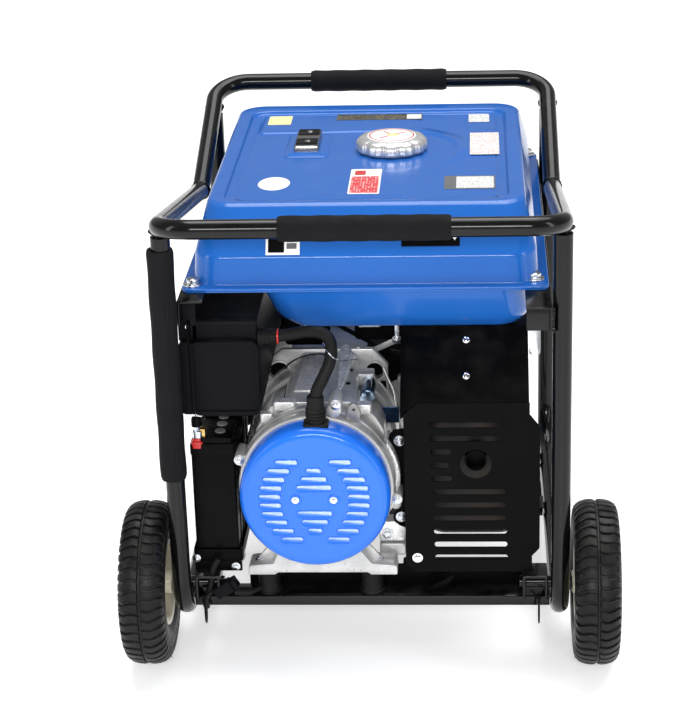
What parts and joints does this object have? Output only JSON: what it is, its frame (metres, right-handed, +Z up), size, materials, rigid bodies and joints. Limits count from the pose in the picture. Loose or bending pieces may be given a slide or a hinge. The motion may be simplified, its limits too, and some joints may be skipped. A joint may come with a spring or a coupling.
{
  "type": "portable generator",
  "caption": "Wheeled open-frame petrol generator: tube frame, blue tank, slanted engine with alternator, guarded muffler, side control panel and battery.",
  "frame": {"origin": "on the floor under the middle of the frame's plan", "axes": "+Z up, +Y from the wheeled alternator end to the recoil starter end, control panel on -X"},
  "size_m": [0.663, 0.7635, 0.657],
  "materials": {
    "frame_paint": "gloss black enamel on steel tube",
    "foam": "dull closed-cell foam",
    "rubber": "matte black rubber",
    "tyre": "moulded lug tread",
    "rim_paint": "cream enamel",
    "tank_paint": "gloss blue enamel",
    "cover_paint": "gloss bright blue enamel",
    "chrome": "silver, slightly worn",
    "aluminium": "as-cast",
    "steel": "zinc plated or bare",
    "iron": "dark laminations and casting",
    "satin_black": "satin black heat-resistant paint",
    "plastic": "textured black",
    "red_plastic": "smooth red"
  },
  "bodies": {
    "frame": {"frame_hoop_near": "frame_paint", "frame_hoop_far": "frame_paint", "frame_loop_left": "frame_paint", "frame_loop_right": "frame_paint", "cross_member_near": "frame_paint", "cross_member_mid": "frame_paint", "cross_member_far": "frame_paint", "tank_rail_left": "frame_paint", "tank_rail_right": "frame_paint", "grip_near": "foam", "grip_far": "foam", "upright_sleeve": "foam", "foot_left": "rubber", "foot_right": "rubber", "mount_near_left": "rubber", "mount_near_right": "rubber", "mount_mid_left": "rubber", "mount_mid_right": "rubber", "conduit": "rubber", "tank_upper": "tank_paint", "tank_lower": "tank_paint", "alternator_cover": "cover_paint", "end_bell": "aluminium", "adapter": "aluminium", "crankcase": "aluminium", "cylinder": "aluminium", "valve_cover": "aluminium", "carburettor": "aluminium", "axle_left": "steel", "axle_right": "steel", "muffler": "steel", "stator": "iron", "fan_shroud": "satin_black", "recoil_cover": "satin_black", "starter_motor": "satin_black", "guard_lower": "satin_black", "guard_upper": "satin_black", "battery_tray": "satin_black", "battery_clamp": "satin_black", "fuel_gauge": "plastic", "air_cleaner_box": "plastic", "control_box": "plastic", "control_panel": "plastic", "battery": "plastic"},
    "wheel_left": {"tyre_left": "tyre", "rim_left": "rim_paint"},
    "wheel_right": {"tyre_right": "tyre", "rim_right": "rim_paint"},
    "crank": {"rotor": "steel", "crankshaft": "iron"},
    "cap": {"fuel_cap": "chrome"},
    "tap": {"fuel_tap_lever": "red_plastic"},
    "pull": {"pull_grip": "rubber"},
    "oil_plug": {"dipstick": "plastic"},
    "air_lid": {"air_cleaner_cover": "plastic"},
    "choke": {"choke_lever": "steel"},
    "lid_near": {"socket_lid_near": "plastic"},
    "lid_far": {"socket_lid_far": "plastic"},
    "breaker": {"breaker_lever": "steel"},
    "key": {"key_switch": "plastic"}
  },
  "joints": [
    {"name": "wheel_left_spin", "type": "hinge", "parent": "frame", "child": "wheel_left", "pos_m": [-0.3005, -0.276, 0.111], "axis": [1, 0, 0], "continuous": true},
    {"name": "wheel_right_spin", "type": "hinge", "parent": "frame", "child": "wheel_right", "pos_m": [0.3005, -0.276, 0.111], "axis": [1, 0, 0], "continuous": true},
    {"name": "crank_spin", "type": "hinge", "parent": "frame", "child": "crank", "pos_m": [-0.069, 0, 0.256], "axis": [0, 1, 0], "continuous": true},
    {"name": "cap_turn", "type": "hinge", "parent": "frame", "child": "cap", "pos_m": [0.0265, 0.058, 0.62], "axis": [0, 0, 1], "range_deg": [0, 90]},
    {"name": "tap_turn", "type": "hinge", "parent": "frame", "child": "tap", "pos_m": [0.15, -0.04, 0.446], "axis": [0, 0, 1], "range_deg": [0, 90]},
    {"name": "pull_slide", "type": "slide", "parent": "frame", "child": "pull", "axis": [0, 1, 0], "range_m": [0, 0.03], "stiffness_N_per_m": 120, "springref_m": -0.02},
    {"name": "oil_plug_turn", "type": "hinge", "parent": "frame", "child": "oil_plug", "pos_m": [-0.16, 0.09, 0.178], "axis": [-1, 0, 0], "range_deg": [0, 360]},
    {"name": "air_lid_hinge", "type": "hinge", "parent": "frame", "child": "air_lid", "pos_m": [0.19, 0.2065, 0.317], "axis": [0, 1, 0], "range_deg": [0, 75]},
    {"name": "choke_turn", "type": "hinge", "parent": "frame", "child": "choke", "pos_m": [0.1003, 0.1026, 0.368], "axis": [1, 0, 0], "range_deg": [0, 40]},
    {"name": "lid_near_hinge", "type": "hinge", "parent": "frame", "child": "lid_near", "pos_m": [-0.236, -0.21, 0.4375], "axis": [0, 1, 0], "range_deg": [0, 95], "stiffness_Nm_per_rad": 0.02, "springref_deg": -22.92},
    {"name": "lid_far_hinge", "type": "hinge", "parent": "frame", "child": "lid_far", "pos_m": [-0.236, -0.135, 0.4375], "axis": [0, 1, 0], "range_deg": [0, 95], "stiffness_Nm_per_rad": 0.02, "springref_deg": -22.92},
    {"name": "breaker_tilt", "type": "hinge", "parent": "frame", "child": "breaker", "pos_m": [-0.2345, 0.02, 0.405], "axis": [0, 1, 0], "range_deg": [0, 25]},
    {"name": "key_turn", "type": "hinge", "parent": "frame", "child": "key", "pos_m": [-0.2322, 0.09, 0.41], "axis": [-1, 0, 0], "range_deg": [0, 90]}
  ]
}
